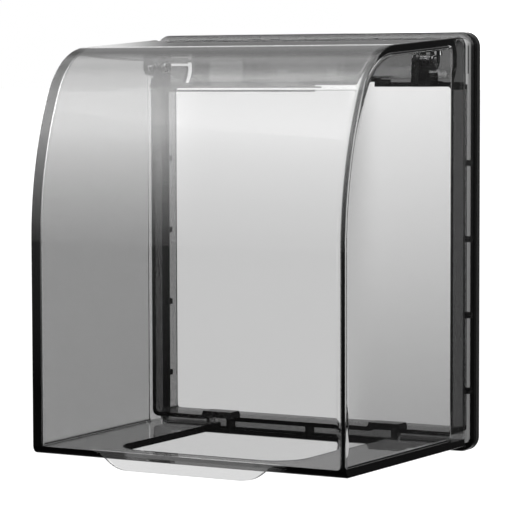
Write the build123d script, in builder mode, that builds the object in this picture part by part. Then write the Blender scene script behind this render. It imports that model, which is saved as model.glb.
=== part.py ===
from build123d import *
import os
from math import atan2, cos, degrees, radians, sin, sqrt, tan

# Splash cover for a square wall outlet: a wall frame with a deep window collar,
# and a drafted clear lid that swings up on two pins.
# Millimetres. X to the right, Y into the wall, Z up.
# The origin is the centre of the outlet window, in the plane of the wall, so a
# point that stands q in front of the wall has Y = -q.

os.makedirs("parts", exist_ok=True)

# Outlet plate and the window round it
plate_side = 86.0
plate_gap_side = 2.5
plate_gap_top = 3.2
window_half_w = plate_side / 2 + plate_gap_side
window_half_h = plate_side / 2 + plate_gap_top
window_corner = 1.0

# Wall frame
frame_wall = 1.2
side_border = 4.4
bottom_border = 6.2
top_border = 14.6
frame_corner = 4.0
flange_front = 6.0
flange_round = 2.5
collar_front = 12.0
collar_rear = 0.3
skirt_front = 4.1
skirt_wall = 0.6
frame_half_w = window_half_w + side_border
frame_bottom = -window_half_h - bottom_border
frame_top = window_half_h + top_border
frame_mid = (frame_top + frame_bottom) / 2
collar_half_w = window_half_w + frame_wall
collar_half_h = window_half_h + frame_wall
skirt_half_w = window_half_w + skirt_wall
skirt_half_h = window_half_h + skirt_wall

# Rim seal between the frame and the wall
seal_depth = 2.4
seal_width = 1.7
seal_edge = 0.5

# Stiffening ribs in the rear channel
rib_wall = 1.6
side_rib_pitch = 20.5
side_rib_count = 4
side_rib_centre = -5.0
bottom_rib_pitch = 25.5
bottom_rib_count = 3

# Catch recesses in the bottom of the collar
recess_x = bottom_rib_pitch
recess_foot_w = 8.4
recess_rise = 1.2
recess_depth = 3.5
recess_slant = 70.0
recess_rear = collar_front - recess_depth

# Lid
lid_wall = 1.9
lid_front = 72.7
lid_gap = 0.3
lid_rear = flange_front + lid_gap
lid_floor_gap = 1.3
lid_bottom = -collar_half_h - lid_floor_gap - lid_wall
lid_top_drop = 1.2
lid_top_rear = frame_top - lid_top_drop
lid_top_slope = 3.6
lid_front_top = 5.8
big_radius = 90.0
shoulder_radius = 20.6
lid_bottom_corner = 2.0
lid_edge_round = 0.5
lid_inner_round = 1.2
wing_gap = 0.35
wing_wall = 1.45
wing_corner = 3.0
wing_overlap = 2.0
wing_half_w = collar_half_w + wing_gap
wing_front = collar_front + wing_overlap
top_overlap = 0.7
top_rear = collar_front + top_overlap
side_draft = 1.6
lid_half_rear = wing_half_w + wing_wall
lid_half_front = lid_half_rear - side_draft

# Hinge
pivot_ahead = 5.9
pivot_rise = 7.2
pivot_q = collar_front + pivot_ahead
pivot_z = window_half_h + pivot_rise
swing_radius = 7.3
swing_gap = 0.3
recess_radius = swing_radius + swing_gap
bar_wall = 1.3
hood_drop = 0.4
hood_corner = 2.0
knuckle_radius = 3.0
ear_inset = 4.8
ear_w = 3.0
ear_gap = 0.3
cheek_wall = 2.0
ear_outer = lid_half_rear - ear_inset
ear_inner = ear_outer - ear_w
cheek_outer = ear_inner - ear_gap
cheek_inner = cheek_outer - cheek_wall
shelf_thick = 1.5
shelf_inset = 0.6
shelf_outer = ear_outer - shelf_inset
shelf_corner = 2.5
block_gap = 0.5
block_step = 0.2
block_front = pivot_q - block_step
pin_radius = 1.2
pin_head_radius = 2.0
pin_head_thick = 0.9
pin_running_gap = 0.06
pin_end_gap = 0.4
pin_grip = 2.0
pin_reach = ear_inner + pin_grip
pin_edge = 0.25

# Pockets in the flange for the rear corners of the lid
slot_gap = 0.3

# Cable notch, catches and finger lip on the lid
notch_half_w = 27.5
notch_front = 64.5
notch_corner = 9.5
catch_edge = 0.2
catch_w = 1.3
catch_rear_gap = 0.3
catch_depth = 3.0
catch_top_gap = 0.4
lip_root_half = 30.0
lip_foot_half = 17.0
lip_length = 4.9
lip_wall = 1.2
lip_tilt = 5.0
lip_root_rise = 2.3
lip_root_z = lid_bottom + lip_root_rise

# Centre clip and the walls of the hinge bar
clip_pocket_half = 13.9
clip_side_gap = 0.15
clip_rear = 4.4
clip_foot_gap = 0.1
clip_wall = 1.4
clip_lip_rise = 2.1
clip_lip_wall = 0.9
clip_lip_front = 8.4
clip_hole_x = 7.8
clip_hole_w = 3.8
clip_hole_h = 3.1
clip_hole_rise = 4.35
clip_post_w = 2.2
bar_rib_wall = 1.2
bar_rib_mid = 17.5
bar_rib_inset = 5.1
bar_rib_x = [clip_pocket_half + bar_rib_wall / 2, bar_rib_mid, cheek_inner - bar_rib_inset]
bar_step_left = 1.8
bar_step_w = 21.0
bar_step_rise = 1.3

# Angled openings in the front wall of the bar, one behind each cheek
opening_inset = 4.2
opening_inner = cheek_inner - opening_inset
opening_w = 2.0
opening_low = 2.2
opening_high = 10.2
opening_arm = 5.6
opening_arm_w = 1.2
opening_arm_drop = 1.2


def q_plane(q):
    """Plane parallel to the wall, q in front of it; extrusions go forward."""
    return Plane.XZ.offset(q)


def top_line_z(q, inset):
    """Height of the lid's sloping top, or of its inner face, at depth q."""
    slope = radians(lid_top_slope)
    return lid_top_rear - (q - lid_rear) * tan(slope) - inset / cos(slope)


def lid_arc_centres():
    """Centres of the front arc and of the shoulder arc, as (q, z)."""
    slope = radians(lid_top_slope)
    front_c = (lid_front - big_radius, lid_front_top)
    base = (lid_rear - shoulder_radius * sin(slope),
            lid_top_rear - shoulder_radius * cos(slope))
    along = (cos(slope), -sin(slope))
    off = (base[0] - front_c[0], base[1] - front_c[1])
    b = off[0] * along[0] + off[1] * along[1]
    c = off[0] ** 2 + off[1] ** 2 - (big_radius - shoulder_radius) ** 2
    run = -b + sqrt(b * b - c)
    return front_c, (base[0] + run * along[0], base[1] + run * along[1])


def lid_side_outline(inset, rear_q):
    """Edges of the lid's side view, drawn inset from its outer skin, in (Y, Z)."""
    front_c, shoulder_c = lid_arc_centres()
    turn = degrees(atan2(shoulder_c[1] - front_c[1], shoulder_c[0] - front_c[0]))
    top_angle = 90 + lid_top_slope
    front_q = lid_front - inset
    floor_z = lid_bottom + inset
    with BuildLine() as outline:
        front_arc = CenterArc((-front_c[0], front_c[1]), big_radius - inset, 180, -turn)
        shoulder = CenterArc((-shoulder_c[0], shoulder_c[1]), shoulder_radius - inset,
                             180 - turn, top_angle - (180 - turn))
        Polyline(shoulder @ 1, (-rear_q, top_line_z(rear_q, inset)), (-rear_q, floor_z),
                 (-front_q, floor_z), front_arc @ 0)
    return outline.edges()


def lid_plan_outline(inset, rear_q):
    """Edges of the plan view of the drafted sides, inset from the outer skin."""
    draft = (lid_half_rear - lid_half_front) / (lid_front - lid_rear)
    front_q = lid_front - inset
    rear_half = lid_half_rear - inset + (lid_rear - rear_q) * draft
    front_half = lid_half_front - inset + inset * draft
    with BuildLine() as outline:
        Polyline((-rear_half, -rear_q), (rear_half, -rear_q), (front_half, -front_q),
                 (-front_half, -front_q), close=True)
    return outline.edges()


def front_side_edges(part):
    """Edges where the two side faces meet the other faces, save the rear ones."""
    edges = ShapeList()
    for side in (part.faces().sort_by(Axis.X)[0], part.faces().sort_by(Axis.X)[-1]):
        edges += side.edges().sort_by(Axis.Y)[:-1]
    return edges


# Inner space of the lid, taken out of its shell
cavity_rear = lid_rear - lid_wall
with BuildPart() as lid_cavity:
    with BuildSketch(Plane.YZ):
        make_face(lid_side_outline(lid_wall, cavity_rear))
    extrude(amount=lid_half_rear, both=True)
    with BuildSketch(Plane.XY.offset(lid_bottom)):
        make_face(lid_plan_outline(lid_wall, cavity_rear))
    extrude(amount=lid_top_rear - lid_bottom + lid_wall, mode=Mode.INTERSECT)
    fillet(front_side_edges(lid_cavity), lid_inner_round)

# Clear lid with ears, cable notch, catches and finger lip
with BuildPart() as lid:
    with BuildSketch(Plane.YZ):
        make_face(lid_side_outline(0, lid_rear))
    extrude(amount=lid_half_rear, both=True)
    with BuildSketch(Plane.XY.offset(lid_bottom)):
        make_face(lid_plan_outline(0, lid_rear))
    extrude(amount=lid_top_rear - lid_bottom + lid_wall, mode=Mode.INTERSECT)
    foot_edge = lid.edges().filter_by(Axis.X).group_by(Axis.Y)[0]
    fillet(foot_edge, lid_bottom_corner)
    rear_edges = lid.edges().filter_by(Axis.X).group_by(Axis.Y)[-1]
    fillet(rear_edges.sort_by(Axis.Z)[-1], wing_corner)
    fillet(front_side_edges(lid), lid_edge_round)
    add(lid_cavity.part, mode=Mode.SUBTRACT)

    # Thin wings behind the ears, which pass outside the frame's collar
    with BuildSketch(q_plane(lid_rear)):
        with BuildLine():
            Polyline((-wing_half_w, lid_bottom + lid_wall), (wing_half_w, lid_bottom + lid_wall),
                     (wing_half_w, top_line_z(wing_front, lid_wall)),
                     (-wing_half_w, top_line_z(wing_front, lid_wall)), close=True)
        make_face()
    extrude(amount=wing_front - lid_rear, mode=Mode.SUBTRACT)

    # Rear end of the top, round the pivot, clear of the hinge bar
    with BuildSketch(Plane.YZ):
        with BuildLine():
            Polyline((-pivot_q, pivot_z), (-pivot_q, frame_top), (-lid_rear, frame_top),
                     (-lid_rear, pivot_z), close=True)
        make_face()
        with Locations((-pivot_q, pivot_z)):
            Circle(swing_radius, mode=Mode.SUBTRACT)
        with BuildLine():
            Polyline((-top_rear, pivot_z), (-top_rear, frame_top), (-lid_rear, frame_top),
                     (-lid_rear, pivot_z), close=True)
        make_face()
    extrude(amount=wing_half_w, both=True, mode=Mode.SUBTRACT)

    # Ears that hang from the top and turn on the pins
    ear_top = top_line_z(pivot_q, lid_wall / 2)
    for side in (-1, 1):
        with BuildSketch(Plane.YZ.offset(side * ear_inner)):
            with Locations((-pivot_q, pivot_z)):
                Circle(knuckle_radius)
            with Locations((-pivot_q, (pivot_z + ear_top) / 2)):
                Rectangle(2 * knuckle_radius, ear_top - pivot_z)
        extrude(amount=side * (ear_outer - ear_inner))
        with BuildSketch(Plane.YZ.offset(side * ear_inner)):
            with Locations((-pivot_q, pivot_z)):
                Circle(pin_radius + pin_running_gap)
        extrude(amount=side * (pin_reach + pin_end_gap - ear_inner), mode=Mode.SUBTRACT)

    # Cable notch, open at the rear
    with BuildSketch(Plane.XY.offset(lid_bottom)):
        with BuildLine():
            notch_path = FilletPolyline((notch_half_w, 0), (notch_half_w, -notch_front),
                                        (-notch_half_w, -notch_front), (-notch_half_w, 0),
                                        radius=notch_corner)
            Line(notch_path @ 1, notch_path @ 0)
        make_face()
    extrude(amount=lid_wall, mode=Mode.SUBTRACT)

    # Catches that rise from the floor into the collar's recesses
    catch_x = notch_half_w + catch_edge + catch_w / 2
    catch_mid_q = recess_rear + catch_rear_gap + catch_depth / 2
    catch_top = -collar_half_h + recess_rise - catch_top_gap
    with BuildSketch(Plane.XY.offset(lid_bottom + lid_wall)):
        with Locations(*[(side * catch_x, -catch_mid_q) for side in (-1, 1)]):
            Rectangle(catch_w, catch_depth)
    extrude(amount=catch_top - lid_bottom - lid_wall)

    # Finger lip: a thin plate with curved ends that hangs below the front wall
    lip_plane = Plane(origin=(0, -lid_front + lip_wall, lip_root_z), x_dir=(1, 0, 0),
                      z_dir=(0, -cos(radians(lip_tilt)), sin(radians(lip_tilt))))
    lip_mid = ((lip_root_half + lip_foot_half) / 2, -lip_length / 2)
    with BuildSketch(lip_plane):
        with BuildLine():
            top_bend = TangentArc((lip_root_half, 0), lip_mid, tangent=(-1, 0))
            foot_bend = TangentArc(top_bend @ 1, (lip_foot_half, -lip_length),
                                   tangent=top_bend % 1)
            Line(foot_bend @ 1, (0, -lip_length))
            Line((0, -lip_length), (0, 0))
            Line((0, 0), (lip_root_half, 0))
        make_face()
        mirror(about=Plane.YZ)
    extrude(amount=lip_wall)
lid.part.label = "lid"
export_step(lid.part, "parts/lid.step")

# Heights of the hinge bar
hood_top = top_line_z(collar_front, 0) - hood_drop
bar_floor = window_half_h + frame_wall

# Space of the rear channel round the collar and its thin rear skirt
with BuildPart() as channel_space:
    with BuildSketch(q_plane(collar_rear)):
        with Locations((0, frame_mid)):
            RectangleRounded(2 * (frame_half_w - frame_wall),
                             frame_top - frame_bottom - 2 * frame_wall,
                             frame_corner - frame_wall)
    extrude(amount=flange_front - frame_wall - collar_rear)
    fillet(channel_space.faces().sort_by(Axis.Y)[0].edges(), flange_round - frame_wall)
    with BuildSketch(q_plane(collar_rear)):
        Rectangle(2 * skirt_half_w, 2 * skirt_half_h)
    extrude(amount=skirt_front - collar_rear, mode=Mode.SUBTRACT)
    with BuildSketch(q_plane(skirt_front)):
        Rectangle(2 * collar_half_w, 2 * collar_half_h)
    extrude(amount=flange_front - skirt_front, mode=Mode.SUBTRACT)

# Wall frame with window collar and hollow hinge bar
with BuildPart() as mounting_frame:
    with BuildSketch(q_plane(seal_depth)):
        with Locations((0, frame_mid)):
            RectangleRounded(2 * frame_half_w, frame_top - frame_bottom, frame_corner)
    extrude(amount=flange_front - seal_depth)
    fillet(mounting_frame.faces().sort_by(Axis.Y)[0].edges(), flange_round)

    # Collar and hinge bar in one block
    with BuildSketch(q_plane(collar_rear)):
        with Locations((0, (hood_top - collar_half_h) / 2)):
            RectangleRounded(2 * collar_half_w, hood_top + collar_half_h, hood_corner)
    extrude(amount=collar_front - collar_rear)

    # Window
    with BuildSketch(q_plane(collar_rear)):
        RectangleRounded(2 * window_half_w, 2 * window_half_h, window_corner)
    extrude(amount=collar_front - collar_rear, mode=Mode.SUBTRACT)

    # Raised roofs of the catch recesses, inside the window
    with BuildSketch(q_plane(recess_rear - frame_wall)):
        with Locations(*[(side * recess_x, -collar_half_h) for side in (-1, 1)]):
            Trapezoid(recess_foot_w + 2 * frame_wall, recess_rise + frame_wall, recess_slant,
                      align=(Align.CENTER, Align.MIN))
    extrude(amount=recess_depth + frame_wall)

    # Catch recesses, open at the front and below
    with BuildSketch(q_plane(recess_rear)):
        with Locations(*[(side * recess_x, -collar_half_h) for side in (-1, 1)]):
            Trapezoid(recess_foot_w, recess_rise, recess_slant, align=(Align.CENTER, Align.MIN))
    extrude(amount=recess_depth, mode=Mode.SUBTRACT)

    # Round recess along the bar, in which the lid's rear edge swings
    with BuildSketch(Plane.YZ):
        with Locations((-pivot_q, pivot_z)):
            Circle(recess_radius)
    extrude(amount=collar_half_w, both=True, mode=Mode.SUBTRACT)

    # Rear channel between the rim and the collar
    add(channel_space.part, mode=Mode.SUBTRACT)

    # Hollow of the hinge bar, open at the rear
    with BuildSketch(Plane.YZ):
        with BuildLine():
            Polyline((-seal_depth, bar_floor), (-seal_depth, hood_top - frame_wall),
                     (-collar_front + bar_wall, hood_top - frame_wall),
                     (-collar_front + bar_wall, bar_floor), close=True)
        make_face()
        with Locations((-pivot_q, pivot_z)):
            Circle(recess_radius + bar_wall, mode=Mode.SUBTRACT)
    extrude(amount=window_half_w, both=True, mode=Mode.SUBTRACT)

    # Ribs of the side channels, the bottom channel and the hinge bar
    channel_depth = flange_front - frame_wall - seal_depth
    side_rib_w = side_border - frame_wall - skirt_wall
    for side in (-1, 1):
        with BuildSketch(q_plane(seal_depth)):
            with Locations((side * (skirt_half_w + side_rib_w / 2), side_rib_centre)):
                with GridLocations(1, side_rib_pitch, 1, side_rib_count):
                    Rectangle(side_rib_w, rib_wall)
        extrude(amount=channel_depth)
    bottom_rib_h = bottom_border - frame_wall - skirt_wall
    with BuildSketch(q_plane(seal_depth)):
        with Locations((0, -skirt_half_h - bottom_rib_h / 2)):
            with GridLocations(bottom_rib_pitch, 1, bottom_rib_count, 1):
                Rectangle(rib_wall, bottom_rib_h)
    extrude(amount=channel_depth)
    bar_rib_h = hood_top - frame_wall - bar_floor
    with BuildSketch(q_plane(seal_depth)):
        with Locations(*[(side * x, bar_floor + bar_rib_h / 2)
                         for side in (-1, 1) for x in bar_rib_x]):
            Rectangle(bar_rib_wall, bar_rib_h)
    extrude(amount=pivot_q - recess_radius - bar_wall / 2 - seal_depth)

    # Shelves, low blocks and cheeks that carry the pins
    shelf_front = pivot_q + knuckle_radius
    block_top = pivot_z - knuckle_radius - block_gap
    for side in (-1, 1):
        with BuildSketch(Plane.XY.offset(window_half_h)):
            with BuildLine():
                Polyline((side * cheek_inner, -collar_front + bar_wall),
                         (side * cheek_inner, -shelf_front),
                         (side * (shelf_outer - shelf_corner), -shelf_front),
                         (side * shelf_outer, -shelf_front + shelf_corner),
                         (side * shelf_outer, -collar_front + bar_wall), close=True)
            make_face()
        extrude(amount=shelf_thick)
        with BuildSketch(Plane.XY.offset(window_half_h + shelf_thick)):
            with BuildLine():
                Polyline((side * cheek_outer, -block_front),
                         (side * shelf_outer, -block_front),
                         (side * shelf_outer, -pivot_q + knuckle_radius),
                         (side * cheek_outer, -pivot_q + knuckle_radius), close=True)
            make_face()
        extrude(amount=block_top - window_half_h - shelf_thick)
        with BuildSketch(Plane.YZ.offset(side * cheek_inner)):
            with Locations((-pivot_q, pivot_z)):
                Circle(knuckle_radius)
            with Locations((-pivot_q, (pivot_z + window_half_h) / 2)):
                Rectangle(2 * knuckle_radius, pivot_z - window_half_h)
            with Locations((-pivot_q, pivot_z)):
                Circle(pin_radius, mode=Mode.SUBTRACT)
        extrude(amount=side * (cheek_outer - cheek_inner))

    # Flange pockets for the sweep of the lid's rear corners
    slot_outer = lid_half_rear + slot_gap
    sweep = wing_corner + sqrt((pivot_q - lid_rear - wing_corner) ** 2
                               + (lid_top_rear - wing_corner - pivot_z) ** 2)
    slot_half_h = sqrt((sweep + slot_gap) ** 2 - (pivot_q - flange_front) ** 2)
    with BuildSketch(q_plane(pivot_q - sweep - slot_gap)):
        with Locations(*[(side * (collar_half_w + slot_outer) / 2, pivot_z)
                         for side in (-1, 1)]):
            Rectangle(slot_outer - collar_half_w, 2 * slot_half_h)
    extrude(amount=flange_front - pivot_q + sweep + slot_gap, mode=Mode.SUBTRACT)

    # Raised step in the bar's floor
    step_mid = bar_step_left + bar_step_w / 2
    with BuildSketch(q_plane(skirt_front)):
        with Locations((step_mid, bar_floor)):
            Rectangle(bar_step_w + 2 * frame_wall, bar_step_rise,
                      align=(Align.CENTER, Align.MIN))
    extrude(amount=collar_front - bar_wall - skirt_front)
    with BuildSketch(q_plane(collar_rear)):
        with Locations((step_mid, 0)):
            Rectangle(bar_step_w, window_half_h + bar_step_rise,
                      align=(Align.CENTER, Align.MIN))
    extrude(amount=collar_front - collar_rear, mode=Mode.SUBTRACT)

    # Angled openings in the bar's front wall
    for side in (-1, 1):
        with BuildSketch(q_plane(skirt_front)):
            with Locations((side * (opening_inner + opening_w / 2),
                            window_half_h + (opening_low + opening_high) / 2)):
                Rectangle(opening_w, opening_high - opening_low)
            with Locations((side * (opening_inner + opening_w + opening_arm / 2),
                            window_half_h + opening_high - opening_arm_drop)):
                Rectangle(opening_arm, opening_arm_w)
        extrude(amount=collar_front - skirt_front, mode=Mode.SUBTRACT)
mounting_frame.part.label = "mounting_frame"
export_step(mounting_frame.part, "parts/mounting_frame.step")

# Headed hinge pins, pressed into the cheeks from the inside
for name, side in (("hinge_pin_left", -1), ("hinge_pin_right", 1)):
    with BuildPart() as pin:
        with BuildSketch(Plane.YZ.offset(side * (cheek_inner - pin_head_thick))):
            with Locations((-pivot_q, pivot_z)):
                Circle(pin_head_radius)
        extrude(amount=side * pin_head_thick)
        with BuildSketch(Plane.YZ.offset(side * cheek_inner)):
            with Locations((-pivot_q, pivot_z)):
                Circle(pin_radius)
        extrude(amount=side * (pin_reach - cheek_inner))
        end_faces = pin.faces().filter_by(Axis.X).sort_by(Axis.X)
        chamfer(end_faces[0].edges() + end_faces[-1].edges(), pin_edge)
    pin.part.label = name
    export_step(pin.part, f"parts/{name}.step")

# Clear clip in the middle of the hinge bar
clip_half = clip_pocket_half - clip_side_gap
clip_lip_z = bar_floor + clip_lip_rise
clip_hole_z = bar_floor + clip_hole_rise
with BuildPart() as centre_clip:
    with BuildSketch(q_plane(clip_rear)):
        with Locations((0, hood_top - frame_wall)):
            Rectangle(2 * clip_half, bar_rib_h - bar_step_rise - clip_foot_gap,
                      align=(Align.CENTER, Align.MAX))
        with Locations((clip_hole_x, clip_hole_z), (-clip_hole_x, clip_hole_z)):
            Rectangle(clip_hole_w, clip_hole_h, mode=Mode.SUBTRACT)
    extrude(amount=clip_wall)
    with BuildSketch(q_plane(clip_rear + clip_wall)):
        with Locations((0, clip_lip_z)):
            Rectangle(2 * clip_half, clip_lip_wall)
        with Locations(*[(side * (clip_half - clip_post_w / 2), clip_lip_z)
                         for side in (-1, 1)]):
            Rectangle(clip_post_w, hood_top - frame_wall - clip_lip_z,
                      align=(Align.CENTER, Align.MIN))
    extrude(amount=clip_lip_front - clip_rear - clip_wall)
centre_clip.part.label = "centre_clip"
export_step(centre_clip.part, "parts/centre_clip.step")

# Soft rim seal behind the frame
with BuildPart() as rim_seal:
    with BuildSketch(q_plane(0)):
        with Locations((0, frame_mid)):
            RectangleRounded(2 * frame_half_w, frame_top - frame_bottom, frame_corner)
            RectangleRounded(2 * (frame_half_w - seal_width),
                             frame_top - frame_bottom - 2 * seal_width,
                             frame_corner - seal_width, mode=Mode.SUBTRACT)
    extrude(amount=seal_depth)
    chamfer(rim_seal.faces().sort_by(Axis.Y)[-1].edges(), seal_edge)
rim_seal.part.label = "rim_seal"
export_step(rim_seal.part, "parts/rim_seal.step")
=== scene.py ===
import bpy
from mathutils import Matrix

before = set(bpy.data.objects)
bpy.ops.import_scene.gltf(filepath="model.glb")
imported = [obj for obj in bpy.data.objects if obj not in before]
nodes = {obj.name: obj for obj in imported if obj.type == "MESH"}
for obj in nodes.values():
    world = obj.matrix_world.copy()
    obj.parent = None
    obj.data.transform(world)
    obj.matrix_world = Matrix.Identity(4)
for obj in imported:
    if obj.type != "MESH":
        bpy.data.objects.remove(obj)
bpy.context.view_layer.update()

from math import radians

import bpy
from mathutils import Euler

# Camera: where it stands in the frame of the part, in metres, and how it looks, in degrees
camera_place = (0.33995, -0.63034, 0.04841)
camera_yaw = 29.72
camera_pitch = -3.949
camera_roll = -0.16
camera_lens = 180.38
sensor_width = 36.0
clip_start = 0.01

# Floor and lamp
floor_z = -0.150
floor_size = 80.0
floor_colour = 0.80
floor_glow = 0.40
sun_turn = (38, -22, 0)
sun_strength = 0.9
sun_angle = 35

# Studio: levels of light by the direction's x, y and z. A list holds pairs of place and
# level, with straight lines between them. A pair of places is where a level starts to
# rise and where it has risen.
box_by_height = [(-0.12, 0.0), (-0.07, 0.25), (-0.01, 0.78), (0.05, 1.28), (0.11, 1.65),
                 (0.17, 2.13), (0.23, 2.75), (0.30, 3.50), (0.37, 4.35), (0.44, 5.45),
                 (0.50, 6.85), (0.56, 7.05), (0.62, 6.45), (0.73, 5.54)]
box_by_depth = [(-0.47, 1.0), (-0.36, 0.91), (-0.16, 0.73), (0.08, 0.44), (0.32, 0.40),
                (0.42, 0.22), (0.53, 0.05), (0.62, 0.0)]
box_side = (-0.535, -0.510)
box_side_level = 0.62
box_whole = (0.62, 0.73)
back_side = (0.2, -0.2)
back_depth = (0.3, 0.75)
back_by_height = [(0.070, 0.45), (0.085, 0.15), (0.110, 0.15), (0.125, 0.45), (0.155, 0.45),
                  (0.170, 1.4), (0.215, 1.4), (0.25, 0.45), (0.40, 0.35), (0.50, 0.45),
                  (0.70, 0.45), (0.80, 0.0)]
fade_side = (-0.520, -0.549)
fade_by_height = [(0.070, 0.0), (0.080, 0.75), (0.118, 0.75), (0.130, 0.0)]
room_height = (-0.5, 0.5)
room_levels = (0.03, 0.12)
card_left = (-0.466, -0.452)
card_right = (-0.37, -0.42)
card_height = (-0.14, 0.0)
card_levels = (0.76, 1.85)
card_bend = 1.3
fill_level = 0.7
# Rays with a glossy depth below this have met no reflection
no_reflection = 0.5

# Light paths
plastic_bounces = 40
glossy_bounces = 16
shadow_bounces = 32

# Clear plastic: noise scales are per metre
white = (1, 1, 1, 1)
smoke = (0, 0, 0, 1)
shadow_colour = (0.92, 0.92, 0.92, 1)
milk_colour = (0.85, 0.85, 0.85, 1)
plastic_ior = 1.5
gloss_noise = {"scale": 160, "detail": 3}
wave_noise = {"scale": 26, "detail": 1}
wave_height = 0.001
# By CAD node: name, absorption per metre, most roughness, strength of the wave, milkiness
clear_plastics = {
    "lid": ("lid_smoke_plastic", 260.0, 0.02, 0.012, 0.0),
    "mounting_frame": ("frame_smoke_plastic", 1350.0, 0.012, 0.008, 0.0),
    "centre_clip": ("clip_clear_plastic", 150.0, 0.02, 0.01, 0.26),
}

# Opaque finishes
noise_range = (0.3, 0.7)
tone_places = (0.35, 0.65)
grain_detail = 4
grain_strength = 0.4


def add(tree, kind, inputs):
    """New node, with each input linked to a socket or set to a plain value."""
    node = tree.nodes.new(kind)
    for name, value in inputs.items():
        if isinstance(value, bpy.types.NodeSocket):
            tree.links.new(value, node.inputs[name])
        else:
            node.inputs[name].default_value = value
    return node


def maths(tree, operation, first, second):
    """One operation on two values."""
    node = add(tree, "ShaderNodeMath", {0: first, 1: second})
    node.operation = operation
    return node.outputs[0]


def product(tree, first, second):
    """Two values multiplied."""
    return maths(tree, "MULTIPLY", first, second)


def total(tree, first, second):
    """Two values added."""
    return maths(tree, "ADD", first, second)


def either(tree, first, second):
    """The larger of two values."""
    return maths(tree, "MAXIMUM", first, second)


def ramp(tree, value, start, end, low=0.0, high=1.0, kind="LINEAR"):
    """Straight ramp of a value from low at start to high at end."""
    node = add(tree, "ShaderNodeMapRange", {"Value": value, "From Min": start, "From Max": end,
                                            "To Min": low, "To Max": high})
    node.interpolation_type = kind
    return node.outputs["Result"]


def ease(tree, value, start, end, low=0.0, high=1.0):
    """Smooth step of a value from low at start to high at end."""
    return ramp(tree, value, start, end, low, high, "SMOOTHSTEP")


def curve(tree, value, points):
    """Level by value, with straight lines between the given points."""
    start, end = points[0][0], points[-1][0]
    peak = max(level for _, level in points)
    stops = add(tree, "ShaderNodeValToRGB", {"Fac": ramp(tree, value, start, end)})
    band = stops.color_ramp.elements
    between = [band.new((at - start) / (end - start)) for at, _ in points[1:-1]]
    for mark, (_, level) in zip([band[0], *between, band[-1]], points):
        mark.color = (level / peak, level / peak, level / peak, 1)
    return product(tree, stops.outputs["Color"], peak)


def mix(tree, share, first, second):
    """First shader, with a share of the second in its place."""
    return add(tree, "ShaderNodeMixShader", {"Fac": share, 1: first, 2: second}).outputs[0]


def new_material(name):
    """New material with an empty node tree, and that tree."""
    mat = bpy.data.materials.new(name)
    mat.use_nodes = True
    mat.node_tree.nodes.clear()
    return mat, mat.node_tree


def object_coords(tree):
    """Coordinates of the object, in metres."""
    return tree.nodes.new("ShaderNodeTexCoord").outputs["Object"]


def light_path(tree):
    """What kind of ray is looking."""
    return tree.nodes.new("ShaderNodeLightPath").outputs


def noise(tree, coords, scale, detail, stretch=(1, 1, 1)):
    """Noise texture, stretched along the axes."""
    place = add(tree, "ShaderNodeMapping", {"Vector": coords, "Scale": stretch})
    texture = add(tree, "ShaderNodeTexNoise", {"Vector": place.outputs["Vector"],
                                               "Scale": scale, "Detail": detail})
    return texture.outputs["Fac"]


def bumped(tree, height, strength, distance):
    """Normal of a surface with a fine relief."""
    relief = add(tree, "ShaderNodeBump", {"Height": height, "Strength": strength,
                                          "Distance": distance})
    return relief.outputs["Normal"]


def clear_plastic(name, density, most_rough, wave, haze):
    """Smoke-tinted clear moulding, dark where light runs along inside its walls."""
    mat, tree = new_material(name)
    coords = object_coords(tree)
    gloss = ramp(tree, noise(tree, coords, **gloss_noise), *noise_range, 0.0, most_rough)
    wavy = bumped(tree, noise(tree, coords, **wave_noise), wave, wave_height)
    shader = add(tree, "ShaderNodeBsdfPrincipled", {
        "Base Color": white, "Transmission Weight": 1.0, "IOR": plastic_ior,
        "Roughness": gloss, "Normal": wavy})
    milk = add(tree, "ShaderNodeBsdfDiffuse", {"Color": milk_colour})
    milky = mix(tree, haze, shader.outputs["BSDF"], milk.outputs["BSDF"])
    clear = add(tree, "ShaderNodeBsdfTransparent", {"Color": shadow_colour})
    surface = mix(tree, light_path(tree)["Is Shadow Ray"], milky, clear.outputs["BSDF"])
    volume = add(tree, "ShaderNodeVolumeAbsorption", {"Color": smoke, "Density": density})
    add(tree, "ShaderNodeOutputMaterial", {"Surface": surface,
                                           "Volume": volume.outputs["Volume"]})
    return mat


def solid_material(name, dark, light, metallic, rough, grain_scale, grain_height,
                   stretch=(1, 1, 1)):
    """Opaque finish with a mottled colour, uneven roughness and a fine bump."""
    mat, tree = new_material(name)
    grain = noise(tree, object_coords(tree), grain_scale, grain_detail, stretch)
    tones = add(tree, "ShaderNodeValToRGB", {"Fac": grain})
    for mark, place, colour in zip(tones.color_ramp.elements, tone_places, (dark, light)):
        mark.position = place
        mark.color = (*colour, 1)
    shader = add(tree, "ShaderNodeBsdfPrincipled", {
        "Base Color": tones.outputs["Color"], "Metallic": metallic,
        "Roughness": ramp(tree, grain, *noise_range, *rough),
        "Normal": bumped(tree, grain, grain_strength, grain_height)})
    add(tree, "ShaderNodeOutputMaterial", {"Surface": shader.outputs["BSDF"]})
    return mat


def give(node, mat):
    """Puts one material on every slot of a CAD node."""
    for slot in nodes[node].material_slots:
        slot.material = mat


def add_camera():
    """Camera at the photograph's place and angle."""
    data = bpy.data.cameras.new("camera")
    data.sensor_width = sensor_width
    data.lens = camera_lens
    data.clip_start = clip_start
    cam = bpy.data.objects.new("camera", data)
    cam.location = camera_place
    turn = Euler((radians(90 + camera_pitch), 0, radians(camera_yaw))).to_matrix()
    roll = Euler((0, 0, radians(camera_roll))).to_matrix()
    cam.rotation_euler = (turn @ roll).to_euler()
    bpy.context.scene.collection.objects.link(cam)
    bpy.context.scene.camera = cam


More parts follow.
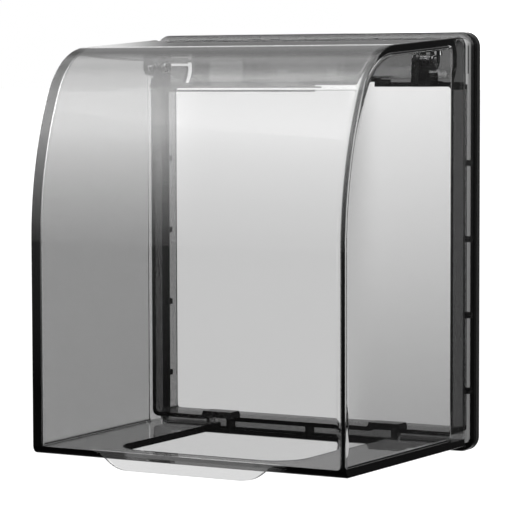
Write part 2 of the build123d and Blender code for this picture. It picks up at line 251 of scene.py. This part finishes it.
def add_sun():
    """Soft distant lamp, which falls evenly on object and floor."""
    data = bpy.data.lights.new("soft_sun", "SUN")
    data.energy = sun_strength
    data.angle = radians(sun_angle)
    lamp = bpy.data.objects.new("soft_sun", data)
    lamp.rotation_euler = [radians(angle) for angle in sun_turn]
    lamp.visible_glossy = False
    bpy.context.scene.collection.objects.link(lamp)


def reflected_studio(tree, x, y, z):
    """Level of the dark studio: softbox on the left, lit strips behind, faint room."""
    box = product(tree, curve(tree, z, box_by_height), curve(tree, y, box_by_depth))
    side = ease(tree, x, *box_side, 1.0, box_side_level)
    box = product(tree, box, either(tree, side, ease(tree, z, *box_whole)))
    fade = product(tree, ease(tree, x, *fade_side), curve(tree, z, fade_by_height))
    behind = product(tree, ease(tree, x, *back_side), ease(tree, y, *back_depth))
    behind = product(tree, behind, total(tree, curve(tree, z, back_by_height), fade))
    room = ease(tree, z, *room_height, *room_levels)
    return total(tree, total(tree, box, behind), room)


def seen_backdrop(tree, x, z):
    """Level of the white backdrop, with the graded card behind the right side wall."""
    card = product(tree, ease(tree, x, *card_left), ease(tree, x, *card_right))
    bend = maths(tree, "POWER", ramp(tree, z, *card_height), card_bend)
    slope = ramp(tree, bend, 0.0, 1.0, *(level - 1 for level in card_levels))
    return total(tree, 1.0, product(tree, card, slope))


def add_world():
    """White to the eye and through clear plastic; a studio in reflections."""
    world = bpy.data.worlds.new("studio")
    bpy.context.scene.world = world
    world.use_nodes = True
    tree = world.node_tree
    tree.nodes.clear()
    way = tree.nodes.new("ShaderNodeTexCoord").outputs["Generated"]
    x, y, z = add(tree, "ShaderNodeSeparateXYZ", {0: way}).outputs
    shine, seen, fill = (
        add(tree, "ShaderNodeBackground", {"Color": white, "Strength": level}).outputs[0]
        for level in (reflected_studio(tree, x, y, z), seen_backdrop(tree, x, z), fill_level))
    rays = light_path(tree)
    straight = maths(tree, "LESS_THAN", rays["Glossy Depth"], no_reflection)
    through = product(tree, rays["Is Transmission Ray"], straight)
    unseen = mix(tree, rays["Is Glossy Ray"], fill, shine)
    surface = mix(tree, either(tree, rays["Is Camera Ray"], through), unseen, seen)
    add(tree, "ShaderNodeOutputWorld", {"Surface": surface})


def add_floor():
    """Pale floor that looks white, keeps the object's shadow and isn't in reflections."""
    mesh = bpy.data.meshes.new("floor")
    s = floor_size / 2
    mesh.from_pydata([(-s, -s, floor_z), (s, -s, floor_z), (s, s, floor_z), (-s, s, floor_z)],
                     [], [(0, 1, 2, 3)])
    floor = bpy.data.objects.new("floor", mesh)
    bpy.context.scene.collection.objects.link(floor)
    mat, tree = new_material("floor_paper")
    colour = (floor_colour, floor_colour, floor_colour, 1)
    paper = add(tree, "ShaderNodeBsdfDiffuse", {"Color": colour}).outputs[0]
    glow = add(tree, "ShaderNodeEmission", {"Strength": floor_glow}).outputs[0]
    glowing = add(tree, "ShaderNodeAddShader", {0: paper, 1: glow}).outputs[0]
    gone = add(tree, "ShaderNodeBsdfTransparent", {}).outputs[0]
    rays = light_path(tree)
    visible = mix(tree, rays["Is Camera Ray"], paper, glowing)
    passing = either(tree, rays["Is Glossy Ray"], rays["Is Transmission Ray"])
    add(tree, "ShaderNodeOutputMaterial", {"Surface": mix(tree, passing, visible, gone)})
    mesh.materials.append(mat)


for node, values in clear_plastics.items():
    give(node, clear_plastic(*values))
pin_steel = solid_material("pin_steel", dark=(0.45, 0.45, 0.46), light=(0.62, 0.62, 0.63),
                           metallic=1.0, rough=(0.22, 0.34), grain_scale=900,
                           grain_height=0.00002, stretch=(6, 1, 1))
seal_rubber = solid_material("seal_rubber", dark=(0.006, 0.006, 0.006),
                             light=(0.014, 0.014, 0.014), metallic=0.0, rough=(0.6, 0.8),
                             grain_scale=1400, grain_height=0.00005)
give("hinge_pin_left", pin_steel)
give("hinge_pin_right", pin_steel)
give("rim_seal", seal_rubber)

add_camera()
add_world()
add_floor()
add_sun()

scene = bpy.context.scene
scene.view_settings.view_transform = "Standard"
scene.cycles.max_bounces = plastic_bounces
scene.cycles.transmission_bounces = plastic_bounces
scene.cycles.glossy_bounces = glossy_bounces
scene.cycles.transparent_max_bounces = shadow_bounces
